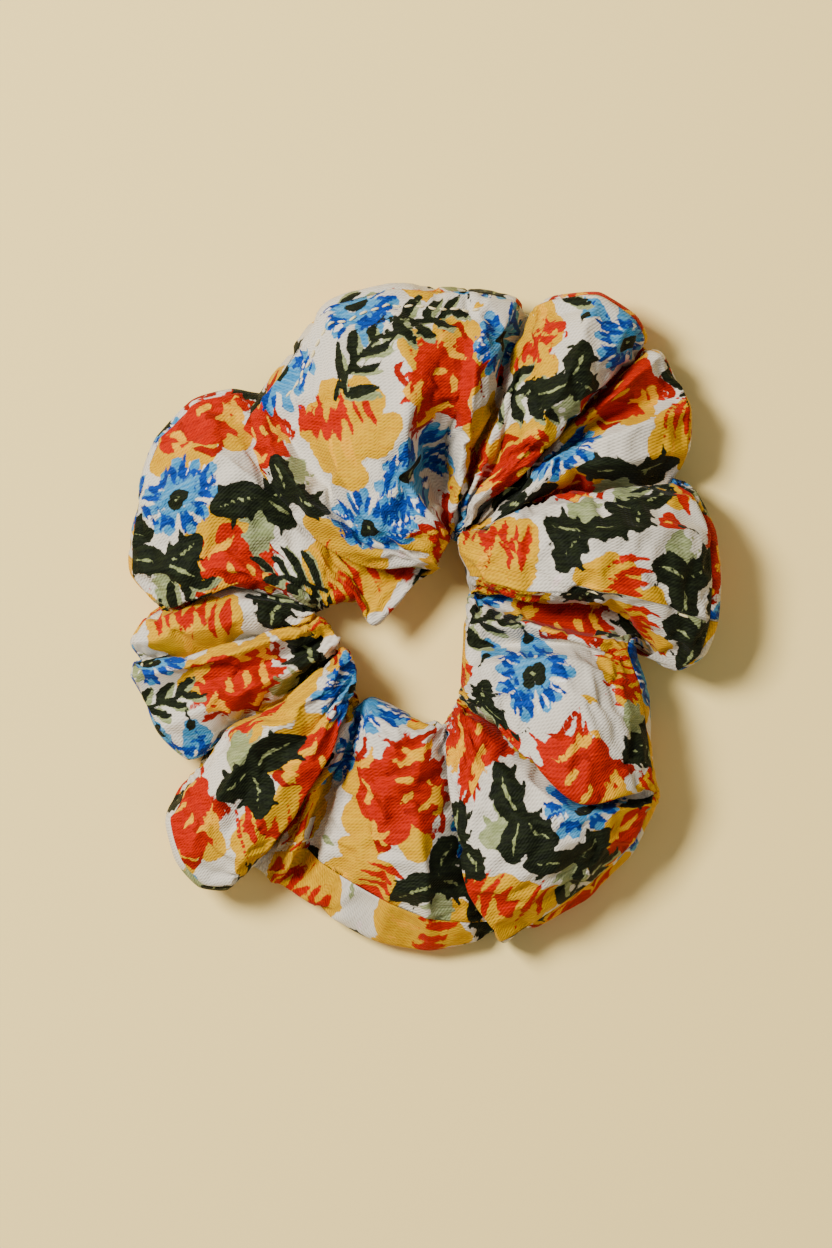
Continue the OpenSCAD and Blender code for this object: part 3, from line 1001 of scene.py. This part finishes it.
# ---------------------------------------------------------------- the elastic
RIBS = 9
RIB_DEPTH = 0.07
FACE_POINTS = 54
BAND_STEP = 0.5
BRAID_PITCH = 1.5
LAP_GAP = 0.1
EDGE_SQUARENESS = 8
JOIN_BARS = 3
TACK_RADIUS = 0.16
TACK_HEIGHT = 5.0
TACK_POINTS = 21
TACK_LEAN = 0.35
TACK_GAP = 0.12
TACK_SPREAD = 1.4


def make_elastic(route):
    """A flat ribbed braid on edge, its ends lapped and tacked."""
    half_lap = BAND_OVERLAP / 2 / BAND_RADIUS
    steps = round((2 * math.pi * BAND_RADIUS + BAND_OVERLAP) / BAND_STEP)
    angle = np.linspace(JOIN_ANGLE - half_lap, JOIN_ANGLE + 2 * math.pi + half_lap, steps)
    turn = (angle - JOIN_ANGLE) / (2 * math.pi)
    radius = route_at(route, angle) + (BAND_THICKNESS + LAP_GAP) * (turn - 0.5)
    height = np.linspace(-1, 1, FACE_POINTS) * BAND_WIDTH / 2
    rounding = np.sqrt(np.clip(1 - (np.abs(height) / (BAND_WIDTH / 2)) ** EDGE_SQUARENESS, 0.02, 1))
    along = np.arange(steps)[:, None] * BAND_STEP
    rib = np.abs(np.sin(height / BAND_WIDTH * math.pi * RIBS))
    rib_shift = np.floor(height / BAND_WIDTH * RIBS) * math.pi
    braid = rib * (1 + 0.5 * np.sin(along * 2 * math.pi / BRAID_PITCH + rib_shift))
    face = rounding * (BAND_THICKNESS / 2 - RIB_DEPTH) + RIB_DEPTH * braid * rounding
    outline = np.concatenate([face, -face[:, ::-1]], axis=1)
    level = np.concatenate([height, height[::-1]])
    reach = radius[:, None] + outline
    points = np.stack([BAND_CENTRE[0] + reach * np.cos(angle)[:, None],
                       BAND_CENTRE[1] + reach * np.sin(angle)[:, None],
                       BAND_CENTRE[2] + np.broadcast_to(level, reach.shape)], axis=2)
    count = points.shape[1]
    faces = []
    for here in range(0, (steps - 1) * count, count):
        for k in range(count):
            following = (k + 1) % count
            faces.append((here + k, here + following, here + count + following, here + count + k))
    faces += [tuple(reversed(range(count))), tuple((steps - 1) * count + k for k in range(count))]
    band = linked("elastic_braid", points, faces)
    band.data.materials.append(elastic_material())
    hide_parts("elastic_band")
    along_with_the_ring(band)
    make_tacks(route, half_lap)


def make_tacks(route, half_lap):
    """The bar tacks: a zigzag of thread on both faces of the lap, JOIN_BARS times."""
    bars = []
    for k in range(JOIN_BARS):
        a = JOIN_ANGLE + half_lap * TACK_SPREAD * (k / (JOIN_BARS - 1) - 0.5)
        out = np.array([math.cos(a), math.sin(a)])
        middle = float(route_at(route, a))
        for face_side in (-1, 1):
            zigzag = []
            for i, z in enumerate(np.linspace(-TACK_HEIGHT / 2, TACK_HEIGHT / 2, TACK_POINTS)):
                lean = TACK_LEAN * (1 if i % 2 else -1)
                r = middle + face_side * (BAND_THICKNESS + TACK_GAP)
                place = BAND_CENTRE[:2] + out * r + np.array([-out[1], out[0]]) * lean
                zigzag.append((*place, BAND_CENTRE[2] + z))
            bars.append(zigzag)
    tacks = tubes("elastic_bar_tacks", bars, TACK_RADIUS)
    tacks.data.materials.append(thread_material())
    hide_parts("elastic_join_stitches")
    along_with_the_ring(tacks)


def build():
    """Every piece, from the one grid of the cover and the one route of the band."""
    grid = cover_points()
    route = band_route(grid)
    grid = with_allowances(over_band(laid_down(wrinkled(grid)), route))
    make_cover(grid)
    make_threads(grid)
    make_elastic(route)


build()

# ---------------------------------------------------------------- camera, floor and light
VIEW_CENTRE = (-0.001, -0.0005)
VIEW_HEIGHT = 0.2167
CAMERA_UP = 1.6
FOCUS_HEIGHT = 0.01
SENSOR = 36
FLOOR_COLOUR = (1.0, 0.76, 0.28, 1)
WORLD_COLOUR = (1, 0.97, 0.93, 1)
WORLD_STRENGTH = 0.27
# Each area light's place, size, power and colour.
LIGHTS = {
    "key": ((-0.46, 0.27, 0.8), 0.26, 17, (1, 0.98, 0.95)),
    "fill": ((0.5, -0.4, 1.3), 1.0, 1.5, (1, 0.98, 0.96)),
}


def studio():
    """A camera straight above, a plain pale floor and soft light from the upper left."""
    camera = bpy.data.objects.new("camera", bpy.data.cameras.new("camera"))
    bpy.context.collection.objects.link(camera)
    camera.location = (*VIEW_CENTRE, CAMERA_UP)
    camera.data.sensor_fit = "VERTICAL"
    camera.data.sensor_height = SENSOR
    camera.data.lens = SENSOR * (CAMERA_UP - FOCUS_HEIGHT) / VIEW_HEIGHT
    camera.data.clip_end = 10
    bpy.context.scene.camera = camera

    bpy.ops.mesh.primitive_plane_add(size=3)
    floor = bpy.context.object
    floor.name = "floor"
    material = bpy.data.materials.new("floor")
    material.use_nodes = True
    shader = material.node_tree.nodes["Principled BSDF"]
    shader.inputs["Base Color"].default_value = FLOOR_COLOUR
    shader.inputs["Roughness"].default_value = 0.9
    floor.data.materials.append(material)

    for name, (place, size, power, colour) in LIGHTS.items():
        light = bpy.data.objects.new(name, bpy.data.lights.new(name, "AREA"))
        bpy.context.collection.objects.link(light)
        light.location = place
        light.data.size = size
        light.data.energy = power
        light.data.color = colour
        light.rotation_euler = (Vector((0, 0, 0)) - Vector(place)).to_track_quat("-Z", "Y").to_euler()

    world = bpy.data.worlds.new("world")
    world.use_nodes = True
    background = world.node_tree.nodes["Background"]
    background.inputs["Color"].default_value = WORLD_COLOUR
    background.inputs["Strength"].default_value = WORLD_STRENGTH
    bpy.context.scene.world = world


studio()
